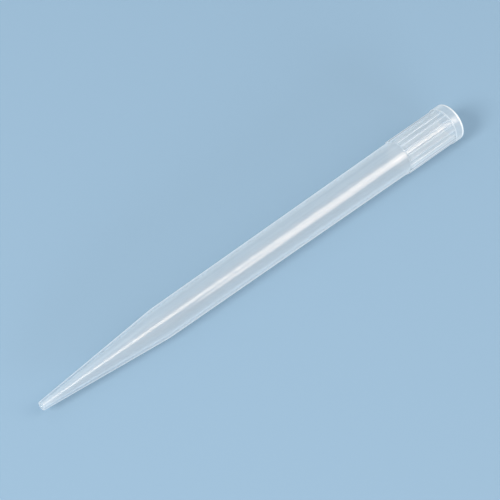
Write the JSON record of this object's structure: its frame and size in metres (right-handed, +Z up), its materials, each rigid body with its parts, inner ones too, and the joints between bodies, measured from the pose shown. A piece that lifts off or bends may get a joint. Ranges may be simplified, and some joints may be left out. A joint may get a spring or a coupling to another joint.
{
  "type": "pipette tip",
  "caption": "Long translucent plastic pipette tip: fine conical point, slightly tapered barrel, ribbed collar and open mouth for a pipette's nozzle.",
  "frame": {"origin": "on the surface that the tip lies on, under the middle of its bounding box", "axes": "+X along the lying tip from its point to its mouth, +Y across it, +Z up"},
  "size_m": [0.15, 0.0114, 0.0115],
  "materials": {
    "natural_polypropylene": "milky translucent moulded polypropylene, smooth and slightly glossy"
  },
  "bodies": {
    "root": {"pipette_tip": "natural_polypropylene"}
  },
  "joints": []
}
